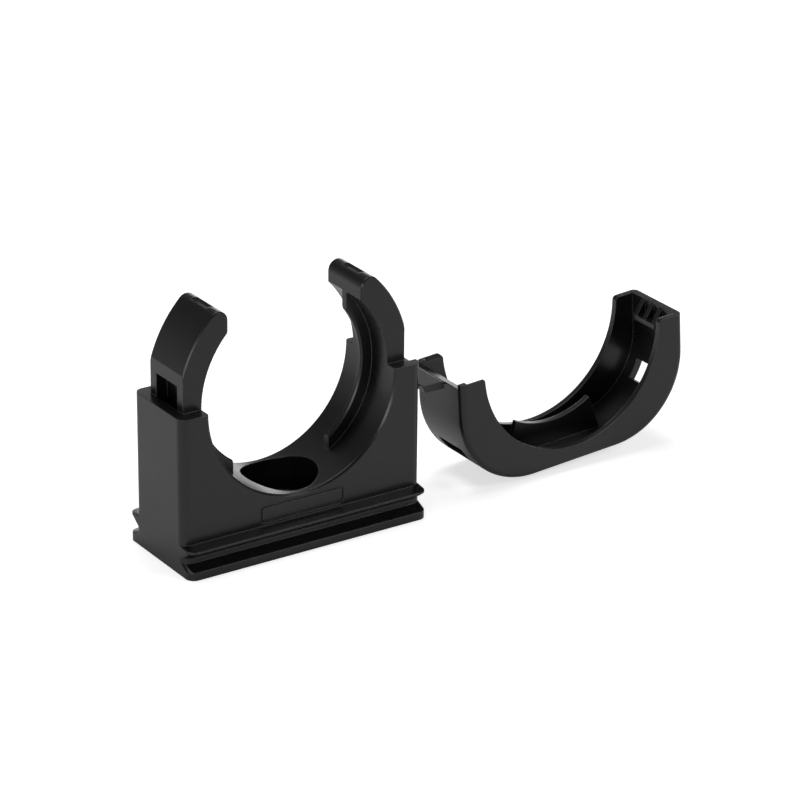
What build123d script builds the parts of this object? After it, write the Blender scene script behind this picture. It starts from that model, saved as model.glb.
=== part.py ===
"""Snap-in conduit clip with a hinged safety cover, moulded open, in millimetres.

X runs across the clip with the cover on the +X side, Y along the conduit and Z up from the panel.
The origin is on the fixing screw's axis, on the face that rests on the panel.
"""
from build123d import *
import os

# Clip body that stands on the panel
body_length = 46.0
body_depth = 15.3
body_corner_radius = 1.5
shoulder_height = 27.4
end_wall = 1.85
core_wall = 2.2

# Side rails, grooved so that clips slide into a carrier
rail_depth = 20.0
rail_corner_radius = 1.6
flange_edge_height = 1.4
groove_depth = 2.0
groove_low = 2.25
groove_high = 3.2
ridge_low = 4.65
ridge_high = 5.0
ridge_top = 5.3

# Conduit bore and its bevelled rims
bore_radius = 17.75
bore_axis_height = 27.3
bore_rim_bevel = 0.35

# Spring arms that grip the conduit
arm_depth = 10.3
arm_thickness = 4.4
arm_root = 3.0
arm_edge_bevel = 0.25
mouth_width = 25.2
crest_radius = 1.8
crest_pocket_length = 4.8
crest_pocket_width = 1.3
crest_pocket_depth = 0.35

# Ribs that drop into one valley of the corrugated conduit
rib_radius = 15.6
rib_thickness = 1.2
rib_root = 0.3
rib_bevel = 0.25
rib_foot_gap = 18.4

# Fixing screw hole and the recess for its head and washer
screw_hole_radius = 3.2
screw_recess_radius = 6.5
screw_floor = 4.0
screw_boss_half_length = 9.0

# Catch window in the free arm
window_width = 6.6
window_top = 31.55
window_depth = 2.0

# Plain label panel on the front face, framed by an engraved line
panel_length = 16.0
panel_offset = -0.25
panel_bottom = 5.7
panel_top = 8.8
panel_corner_radius = 0.8
panel_line_width = 0.35
panel_line_depth = 0.3

# Cover, drawn closed over the arms
cover_depth = 13.7
cover_wall = 1.35
cover_side_wall = 1.05
cover_edge_gap = 0.05
cover_overhang = 0.6
cover_axis_drop = 0.2
cover_crown_rise = 21.4
cover_shoulder_radius = 14.5
cover_edge_radius = 1.0
ear_corner_radius = 0.7
ear_bevel_width = 0.85
ear_bevel_depth = 0.5
cover_rim_radius = 18.35
cover_window_width = 7.0
cover_window_length = 3.7
catch_window_angle = 29.0
hinge_window_angle = 36.0
crown_rib_radius = 15.8
crown_rib_thickness = 1.0
crown_rib_length = 15.2
crown_rib_flare = 2.5

# Catch on the cover's free end
catch_width = 5.9
catch_reach = 1.9
catch_thickness = 0.9
catch_clearance = 0.5
gusset_thickness = 0.9
gusset_count = 3

# Strap between the two film hinges
strap_width = 7.2
strap_thickness = 1.35
strap_length = 7.3
strap_bevel = 0.5
film_width = 4.8
film_length = 2.9
film_thickness = 0.45
film_gap = 0.1
film_rise = 0.8
cover_film_depth = 1.05
hinge_notch_depth = 0.8
hinge_notch_bevel = 0.4
hinge_relief_depth = 0.95

# Open position as moulded
cover_tilt = 4.05

arm_outer_radius = bore_radius + arm_thickness
arm_flat_half_width = body_length / 2 - end_wall
cover_edge_height = shoulder_height + cover_edge_gap
cover_axis_height = cover_edge_height - cover_axis_drop
cover_crown_height = cover_axis_height + cover_crown_rise
cover_inner_half_length = body_length / 2 - cover_wall
channel_width = cover_depth - 2 * cover_side_wall
base_film_x = body_length / 2 + film_gap
strap_height = cover_edge_height + film_rise - strap_length
strap_swing = 90
cover_swing = 180 - cover_tilt - strap_swing
beyond = 2 * body_length
tolerance = 0.001


def upright(profile, depth):
    """Extrude a profile drawn in X and Z to equal depths on both sides of the middle plane."""
    return extrude(Plane.XZ * profile, depth / 2, both=True)


def disc(radius, axis_height=bore_axis_height):
    """Round profile about the conduit's axis, or about an axis at another height."""
    return Pos(0, axis_height) * Circle(radius)


def span(x_low, x_high, z_low, z_high):
    """Rectangular profile between two pairs of limits."""
    centre = Pos((x_low + x_high) / 2, (z_low + z_high) / 2)
    return centre * Rectangle(x_high - x_low, z_high - z_low)


def block(x_low, x_high, width, z_low, z_high):
    """Rectangular solid centred on the middle plane."""
    return upright(span(x_low, x_high, z_low, z_high), width)


def both_ends(solid):
    """A solid with its twin at the other end of the clip."""
    return solid + mirror(solid, Plane.YZ)


def make_rails():
    """Both rails in one ruled loft through the levels where their depth changes."""
    levels = [
        (0, 0),
        (flange_edge_height, 0),
        (groove_low, groove_depth),
        (groove_high, groove_depth),
        (ridge_low, 0),
        (ridge_high, 0),
        (ridge_top, (rail_depth - body_depth) / 2),
    ]
    sections = []
    for height, inset in levels:
        outline = RectangleRounded(body_length, rail_depth - 2 * inset, rail_corner_radius)
        sections.append(Pos(0, 0, height) * outline)
    return loft(sections, ruled=True)


def make_body():
    body = extrude(RectangleRounded(body_length, body_depth, body_corner_radius), shoulder_height)
    body -= upright(disc(bore_radius), beyond)
    rims = body.edges().filter_by(GeomType.CIRCLE)
    rims = rims.filter_by(lambda edge: abs(edge.radius - bore_radius) < tolerance)
    return chamfer(rims, bore_rim_bevel) + make_rails()


def make_arm():
    profile = disc(arm_outer_radius) - disc(bore_radius)
    profile &= span(mouth_width / 2, arm_flat_half_width, shoulder_height - arm_root, beyond)
    profile = fillet(profile.vertices().sort_by(Axis.Y)[-1], crest_radius)
    arm = upright(profile, arm_depth)
    outer_edges = arm.edges().filter_by(GeomType.CIRCLE)
    outer_edges = outer_edges.filter_by(lambda edge: edge.radius > bore_radius + tolerance)
    arm = chamfer(outer_edges, arm_edge_bevel)
    crest = arm.bounding_box().max.Z
    pocket_x = mouth_width / 2 + crest_radius
    pocket_low = pocket_x - crest_pocket_width / 2
    pocket_high = pocket_x + crest_pocket_width / 2
    return arm - block(pocket_low, pocket_high, crest_pocket_length, crest - crest_pocket_depth, beyond)


def make_rib():
    below_axis = span(rib_foot_gap / 2, beyond, 0, bore_axis_height)
    above_axis = span(mouth_width / 2, beyond, bore_axis_height, beyond)
    profile = disc(bore_radius + rib_root) - disc(rib_radius)
    rib = upright(profile & (below_axis + above_axis), rib_thickness)
    inner_edges = rib.edges().filter_by(GeomType.CIRCLE)
    inner_edges = inner_edges.filter_by(lambda edge: edge.radius < rib_radius + tolerance)
    return chamfer(inner_edges, rib_bevel)


def make_core_pocket():
    pocket = block(
        screw_boss_half_length,
        arm_flat_half_width,
        body_depth - 2 * core_wall,
        0,
        shoulder_height - core_wall,
    )
    return pocket - upright(disc(bore_radius + core_wall), beyond)


def make_label_panel():
    middle = (panel_bottom + panel_top) / 2
    face = Plane(origin=(panel_offset, -body_depth / 2, middle), x_dir=(1, 0, 0), z_dir=(0, -1, 0))
    outline = RectangleRounded(panel_length, panel_top - panel_bottom, panel_corner_radius)
    line = outline - offset(outline, -panel_line_width)
    return extrude(face * line, -panel_line_depth)


def make_clip_base():
    base = make_body() + both_ends(make_arm())
    base += both_ends(make_rib())
    base -= both_ends(make_core_pocket())
    base -= extrude(Circle(screw_hole_radius), bore_axis_height)
    base -= Pos(0, 0, screw_floor) * extrude(Circle(screw_recess_radius), bore_axis_height - screw_floor)
    window_outer = -arm_flat_half_width
    base -= block(window_outer, window_outer + window_depth, window_width, bore_axis_height / 2, window_top)
    relief_low = shoulder_height - hinge_relief_depth
    base -= block(arm_flat_half_width, beyond, channel_width, relief_low, shoulder_height)
    return base - make_label_panel()


def cover_outline(inset, low):
    hinge_end = body_length / 2 - inset
    free_end = -hinge_end - cover_overhang
    outline = span(free_end, hinge_end, low, cover_crown_height - inset)
    top_corners = outline.vertices().sort_by(Axis.Y)[-2:]
    return fillet(top_corners, cover_shoulder_radius - inset)


def make_cover_shell():
    shell = upright(cover_outline(0, cover_edge_height), cover_depth)
    long_edges = shell.faces().filter_by(Axis.Y).edges()
    long_edges = long_edges.filter_by(lambda edge: edge.center().Z > cover_edge_height + tolerance)
    shell = fillet(long_edges, cover_edge_radius)
    shell -= upright(cover_outline(cover_wall, 0), channel_width)
    shell -= upright(Pos(-cover_overhang / 2, 0) * disc(cover_rim_radius, cover_axis_height), beyond)
    ear_corners = shell.edges().filter_by(Axis.Y).group_by(Axis.Z)[0]
    ear_reach = cover_inner_half_length - tolerance
    ear_corners = ear_corners.filter_by(lambda edge: abs(edge.center().X) < ear_reach)
    return fillet(ear_corners, ear_corner_radius)


def make_cover_window(angle):
    centre_x = body_length / 2 - cover_shoulder_radius
    centre_z = cover_crown_height - cover_shoulder_radius
    outwards = (Align.MIN, Align.CENTER, Align.CENTER)
    window = Box(beyond, cover_window_width, cover_window_length, align=outwards)
    return Pos(centre_x, 0, centre_z) * Rot(0, -angle, 0) * window


def make_crown_rib():
    half_length = crown_rib_length / 2
    flared = half_length + crown_rib_flare
    ends = Polyline(
        (-half_length, cover_axis_height),
        (half_length, cover_axis_height),
        (half_length, cover_axis_height + crown_rib_radius - crown_rib_flare),
        (flared, cover_crown_height),
        (-flared, cover_crown_height),
        (-half_length, cover_axis_height + crown_rib_radius - crown_rib_flare),
        close=True,
    )
    profile = cover_outline(cover_wall / 2, 0) - disc(crown_rib_radius, cover_axis_height)
    return upright(profile & make_face(ends), crown_rib_thickness)


def make_catch():
    wall_x = -cover_inner_half_length - cover_overhang
    tip_x = wall_x + catch_reach
    ledge_top = window_top - catch_clearance
    ledge_low = ledge_top - catch_thickness
    root_x = wall_x - cover_wall / 2
    catch = block(root_x, tip_x, catch_width, ledge_low, ledge_top)
    slope = Polyline(
        (root_x, cover_edge_height),
        (wall_x, cover_edge_height),
        (tip_x, ledge_low),
        (root_x, ledge_low),
        close=True,
    )
    gusset = upright(make_face(slope), gusset_thickness)
    pitch = (catch_width - gusset_thickness) / (gusset_count - 1)
    for place in range(gusset_count):
        catch += Pos(0, place * pitch - (catch_width - gusset_thickness) / 2, 0) * gusset
    return catch


def make_ear_bevels():
    inner = channel_width / 2
    profile = Polyline(
        (-inner - ear_bevel_width, 0),
        (-inner - ear_bevel_width, cover_edge_height),
        (-inner, cover_edge_height + ear_bevel_depth),
        (inner, cover_edge_height + ear_bevel_depth),
        (inner + ear_bevel_width, cover_edge_height),
        (inner + ear_bevel_width, 0),
        close=True,
    )
    return extrude(Plane.YZ * make_face(profile), cover_inner_half_length)


def make_hinge_notch():
    inner_x = cover_inner_half_length
    outer_x = body_length / 2
    notch_top = cover_edge_height + hinge_notch_depth
    profile = Polyline(
        (inner_x - hinge_notch_bevel, 0),
        (outer_x + film_gap, 0),
        (outer_x + film_gap, notch_top),
        (outer_x, notch_top),
        (inner_x, notch_top + hinge_notch_bevel),
        (inner_x - hinge_notch_bevel, notch_top + hinge_notch_bevel),
        close=True,
    )
    return upright(make_face(profile), channel_width)


def swing(solid, hinge_x, hinge_z, angle):
    """Turn a solid about a film hinge, opening the clip for positive angles."""
    return solid.rotate(Axis((hinge_x, 0, hinge_z), (0, 1, 0)), angle)


def make_cover():
    cover = make_cover_shell() + make_crown_rib() + make_catch()
    cover -= make_cover_window(hinge_window_angle)
    cover -= mirror(make_cover_window(catch_window_angle), Plane.YZ)
    cover -= make_hinge_notch() + make_ear_bevels()
    cover = swing(cover, base_film_x + cover_film_depth, strap_height + strap_length, cover_swing)
    return swing(cover, base_film_x, strap_height, strap_swing)


def make_hinge_strap():
    film_end = base_film_x + film_length
    cover_film_x = base_film_x + strap_length
    cover_wall_x = cover_film_x + cover_film_depth
    low = strap_height - strap_thickness
    profile = Polyline(
        (film_end, strap_height),
        (cover_film_x - strap_bevel, strap_height),
        (cover_film_x, strap_height - cover_film_depth),
        (cover_film_x, low),
        (film_end + strap_bevel, low),
        close=True,
    )
    strap = upright(make_face(profile), strap_width)
    base_film = block(
        base_film_x,
        film_end + strap_bevel,
        film_width,
        strap_height - film_thickness,
        strap_height,
    )
    cover_film = block(
        cover_film_x - strap_bevel,
        cover_wall_x,
        film_width,
        strap_height - cover_film_depth - film_thickness / 2,
        strap_height - cover_film_depth + film_thickness / 2,
    )
    return strap + base_film + cover_film


os.makedirs("parts", exist_ok=True)
export_step(make_clip_base(), "parts/clip_base.step")
export_step(make_hinge_strap(), "parts/hinge_strap.step")
export_step(make_cover(), "parts/cover.step")
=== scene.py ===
"""Studio picture of the conduit clip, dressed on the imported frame, in metres."""
import math

import bpy
from mathutils import Matrix, Vector

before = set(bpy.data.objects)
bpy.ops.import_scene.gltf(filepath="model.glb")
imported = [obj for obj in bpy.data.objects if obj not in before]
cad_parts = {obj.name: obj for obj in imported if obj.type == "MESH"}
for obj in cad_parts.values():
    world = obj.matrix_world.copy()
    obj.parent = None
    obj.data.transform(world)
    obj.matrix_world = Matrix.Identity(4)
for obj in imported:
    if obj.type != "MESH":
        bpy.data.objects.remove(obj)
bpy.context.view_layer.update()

MM = 0.001

# Camera solved from the photograph's own edges, with angles in degrees
CAMERA_AZIMUTH = 33.80
CAMERA_ELEVATION = 23.43
CAMERA_ROLL = 0.67
CAMERA_DISTANCE = 607.15 * MM
CAMERA_TARGET = (23.86 * MM, 0, 17.64 * MM)
CAMERA_NEAR = 0.01
CAMERA_FAR = 20
FOCAL_PIXELS = 3616.85
IMAGE_PIXELS = 800
SENSOR_WIDTH = 36

# Black plastic: tones, the scales of its noises, and the gloss that the flow marks vary
DEEP_BLACK = (0.0034, 0.0034, 0.0036, 1)
CLOUDED_BLACK = (0.0056, 0.0056, 0.0054, 1)
# Paler edge colour: partly handling wear, partly a painted highlight along the edges
WEAR_AND_HIGHLIGHT_GREY = (0.10, 0.10, 0.10, 1)
GRAIN_SCALE = 5200.0
GRAIN_DEPTH = 0.02 * MM
GRAIN_STRENGTH = 0.10
CLOUD_SCALE = 110.0
CLOUD_STOPS = [(0.3, 0.0), (0.75, 1.0)]
FLOW_SCALE = 34.0
FLOW_RANGE = (0.25, 0.75)
ROUGHNESS_RANGE = (0.25, 0.33)
PLASTIC_IOR = 1.52

# Edges: the width that looks rounded, the width that is painted paler (partly handling wear, partly a
# painted highlight along the edges), and the cosine of the turn at which the paling starts and at
# which it is full
SOFT_EDGE_WIDTH = 0.22 * MM
SOFT_EDGE_SAMPLES = 6
EDGE_WEAR_AND_HIGHLIGHT_WIDTH = 0.12 * MM
EDGE_WEAR_AND_HIGHLIGHT_SAMPLES = 8
EDGE_WEAR_AND_HIGHLIGHT_TURN = (0.985, 0.90)
EDGE_WEAR_AND_HIGHLIGHT_RANGE = (0.0, 1.0)

# Floor, a hair below the part, with the glow that the camera and reflections see
FLOOR_SIZE = 6.0
FLOOR_DROP = 0.02 * MM
FLOOR_GREY = (0.90, 0.90, 0.90, 1)
FLOOR_PALE = (0.93, 0.93, 0.93, 1)
FLOOR_MOTTLE_SCALE = 30.0
FLOOR_GLOW_SEEN = 0.64
FLOOR_GLOW_MIRRORED = 0.07

# Room: brightness by the direction's height, from 0 at the horizon to 1 overhead
ROOM_STOPS = [(0.0, 0.42), (0.14, 0.32), (0.38, 0.15), (0.65, 0.10), (0.9, 0.05)]
CARD_WHITE = (1.0, 1.0, 1.0, 1)

# Softboxes: place, size and power in watts, all aimed at one point
LIGHT_AIM = (0.02, 0, 0.02)
SOFTBOXES = {
    "top_softbox": ((0.02, 0.11, 0.45), (0.34, 0.30), 1.12),
    "side_softbox": ((-0.90, -0.75, 0.24), (0.50, 0.40), 2.4),
    "key_softbox": ((0.46, -0.50, 0.52), (0.30, 0.30), 1.1),
    "back_softbox": ((0.62, 0.92, 0.13), (1.0, 0.36), 2.2),
}


class Nodes:
    """Adds and links the nodes of one material or world."""

    def __init__(self, tree):
        self.tree = tree
        tree.nodes.clear()

    def add(self, kind, inputs=None, **settings):
        node = self.tree.nodes.new(kind)
        for name, value in settings.items():
            setattr(node, name, value)
        for name, value in (inputs or {}).items():
            if isinstance(value, bpy.types.NodeSocket):
                self.tree.links.new(value, node.inputs[name])
            else:
                node.inputs[name].default_value = value
        return node

    def math(self, operation, first, second):
        node = self.add("ShaderNodeMath", {0: first, 1: second}, operation=operation)
        return node.outputs[0]

    def noise(self, place, scale, detail, roughness=0.5, distortion=0.0):
        inputs = {
            "Vector": place,
            "Scale": scale,
            "Detail": detail,
            "Roughness": roughness,
            "Distortion": distortion,
        }
        return self.add("ShaderNodeTexNoise", inputs).outputs["Fac"]

    def mix(self, factor, first, second):
        inputs = {"Factor": factor, "A": first, "B": second}
        return self.add("ShaderNodeMix", inputs, data_type="RGBA").outputs[2]

    def map_range(self, value, source, target):
        inputs = {
            "Value": value,
            "From Min": source[0],
            "From Max": source[1],
            "To Min": target[0],
            "To Max": target[1],
        }
        return self.add("ShaderNodeMapRange", inputs).outputs["Result"]

    def ramp(self, factor, stops):
        node = self.add("ShaderNodeValToRGB", {"Fac": factor})
        elements = node.color_ramp.elements
        while len(elements) < len(stops):
            elements.new(0.5)
        for element, (place, level) in zip(elements, stops):
            element.position = place
            element.color = (level, level, level, 1)
        return node.outputs["Color"]

    def bevel(self, width, samples):
        return self.add("ShaderNodeBevel", {"Radius": width}, samples=samples).outputs["Normal"]

    def seen(self, path):
        """One for rays from the camera, straight or through a clear piece, and zero for others."""
        return self.math("MAXIMUM", path.outputs["Is Camera Ray"], path.outputs["Is Transmission Ray"])


def moulded_plastic():
    """Black satin moulding: spark-eroded grain, flow marks, and edges painted paler, partly as wear
    and partly as a painted highlight.
    """
    material = bpy.data.materials.new("black_moulding")
    material.use_nodes = True
    nodes = Nodes(material.node_tree)
    place = nodes.add("ShaderNodeTexCoord").outputs["Object"]
    grain = nodes.noise(place, GRAIN_SCALE, detail=3.0, roughness=0.62)
    clouds = nodes.noise(place, CLOUD_SCALE, detail=4.0, roughness=0.55)
    flow = nodes.noise(place, FLOW_SCALE, detail=2.0, distortion=1.2)

    tone = nodes.mix(nodes.ramp(clouds, CLOUD_STOPS), DEEP_BLACK, CLOUDED_BLACK)
    # Edges, convex and concave, painted paler: partly wear, partly a painted highlight
    edge_normal = nodes.bevel(EDGE_WEAR_AND_HIGHLIGHT_WIDTH, EDGE_WEAR_AND_HIGHLIGHT_SAMPLES)
    face_normal = nodes.add("ShaderNodeNewGeometry").outputs["Normal"]
    turn = nodes.add("ShaderNodeVectorMath", {0: edge_normal, 1: face_normal}, operation="DOT_PRODUCT")
    wear_and_highlight = nodes.map_range(turn.outputs["Value"], EDGE_WEAR_AND_HIGHLIGHT_TURN, EDGE_WEAR_AND_HIGHLIGHT_RANGE)
    bump = nodes.add(
        "ShaderNodeBump",
        {
            "Strength": GRAIN_STRENGTH,
            "Distance": GRAIN_DEPTH,
            "Height": grain,
            "Normal": nodes.bevel(SOFT_EDGE_WIDTH, SOFT_EDGE_SAMPLES),
        },
    )
    shader = nodes.add(
        "ShaderNodeBsdfPrincipled",
        {
            "Base Color": nodes.mix(wear_and_highlight, tone, WEAR_AND_HIGHLIGHT_GREY),
            "Roughness": nodes.map_range(flow, FLOW_RANGE, ROUGHNESS_RANGE),
            "IOR": PLASTIC_IOR,
            "Normal": bump.outputs["Normal"],
        },
    )
    nodes.add("ShaderNodeOutputMaterial", {"Surface": shader.outputs["BSDF"]})
    return material


def floor_material():
    """Pale studio floor that keeps the part's shadow and shows white to the camera."""
    material = bpy.data.materials.new("pale_floor")
    material.use_nodes = True
    nodes = Nodes(material.node_tree)
    place = nodes.add("ShaderNodeTexCoord").outputs["Object"]
    mottle = nodes.noise(place, FLOOR_MOTTLE_SCALE, detail=3.0)
    paint = nodes.add("ShaderNodeBsdfDiffuse", {"Color": nodes.mix(mottle, FLOOR_GREY, FLOOR_PALE)})
    path = nodes.add("ShaderNodeLightPath")
    shown = nodes.math("MULTIPLY", nodes.seen(path), FLOOR_GLOW_SEEN)
    mirrored = nodes.math("MULTIPLY", path.outputs["Is Glossy Ray"], FLOOR_GLOW_MIRRORED)
    strength = nodes.math("ADD", shown, mirrored)
    glow = nodes.add("ShaderNodeEmission", {"Color": CARD_WHITE, "Strength": strength})
    both = nodes.add("ShaderNodeAddShader", {0: paint.outputs[0], 1: glow.outputs[0]})
    nodes.add("ShaderNodeOutputMaterial", {"Surface": both.outputs[0]})
    return material


def make_world():
    """Grey room that darkens overhead, and plain white behind the part."""
    world = bpy.data.worlds.new("studio")
    bpy.context.scene.world = world
    world.use_nodes = True
    nodes = Nodes(world.node_tree)
    direction = nodes.add("ShaderNodeTexCoord").outputs["Generated"]
    height = nodes.add("ShaderNodeSeparateXYZ", {"Vector": direction}).outputs["Z"]
    room = nodes.add("ShaderNodeBackground", {"Color": nodes.ramp(height, ROOM_STOPS)})
    white = nodes.add("ShaderNodeBackground", {"Color": CARD_WHITE})
    seen = nodes.seen(nodes.add("ShaderNodeLightPath"))
    both = nodes.add("ShaderNodeMixShader", {0: seen, 1: room.outputs[0], 2: white.outputs[0]})
    nodes.add("ShaderNodeOutputWorld", {"Surface": both.outputs[0]})


def make_floor():
    bpy.ops.mesh.primitive_grid_add(x_subdivisions=2, y_subdivisions=2, size=FLOOR_SIZE)
    floor = bpy.context.object
    floor.name = "floor"
    floor.location.z = -FLOOR_DROP
    floor.data.materials.append(floor_material())


def make_light(name, place, size, power):
    light = bpy.data.lights.new(name, "AREA")
    light.shape = "RECTANGLE"
    light.size, light.size_y = size
    light.energy = power
    lamp = bpy.data.objects.new(name, light)
    bpy.context.scene.collection.objects.link(lamp)
    lamp.location = place
    aim = Vector(LIGHT_AIM) - Vector(place)
    lamp.rotation_euler = aim.to_track_quat("-Z", "Y").to_euler()


def make_camera():
    azimuth = math.radians(CAMERA_AZIMUTH)
    elevation = math.radians(CAMERA_ELEVATION)
    roll = math.radians(CAMERA_ROLL)
    back = Vector((
        -math.sin(azimuth) * math.cos(elevation),
        -math.cos(azimuth) * math.cos(elevation),
        math.sin(elevation),
    ))
    level_right = Vector((math.cos(azimuth), -math.sin(azimuth), 0))
    level_up = back.cross(level_right)
    right = math.cos(roll) * level_right + math.sin(roll) * level_up
    up = -math.sin(roll) * level_right + math.cos(roll) * level_up
    turn = Matrix((right, up, back)).transposed().to_4x4()
    data = bpy.data.cameras.new("photo_camera")
    data.sensor_width = SENSOR_WIDTH
    data.lens = FOCAL_PIXELS / IMAGE_PIXELS * SENSOR_WIDTH
    data.clip_start = CAMERA_NEAR
    data.clip_end = CAMERA_FAR
    camera = bpy.data.objects.new("photo_camera", data)
    bpy.context.scene.collection.objects.link(camera)
    place = Vector(CAMERA_TARGET) + CAMERA_DISTANCE * back
    camera.matrix_world = Matrix.Translation(place) @ turn
    bpy.context.scene.camera = camera


plastic = moulded_plastic()
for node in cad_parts.values():
    node.data.materials.clear()
    node.data.materials.append(plastic)

make_world()
make_floor()
for softbox, (place, size, power) in SOFTBOXES.items():
    make_light(softbox, place, size, power)
make_camera()
bpy.context.scene.view_settings.view_transform = "Standard"
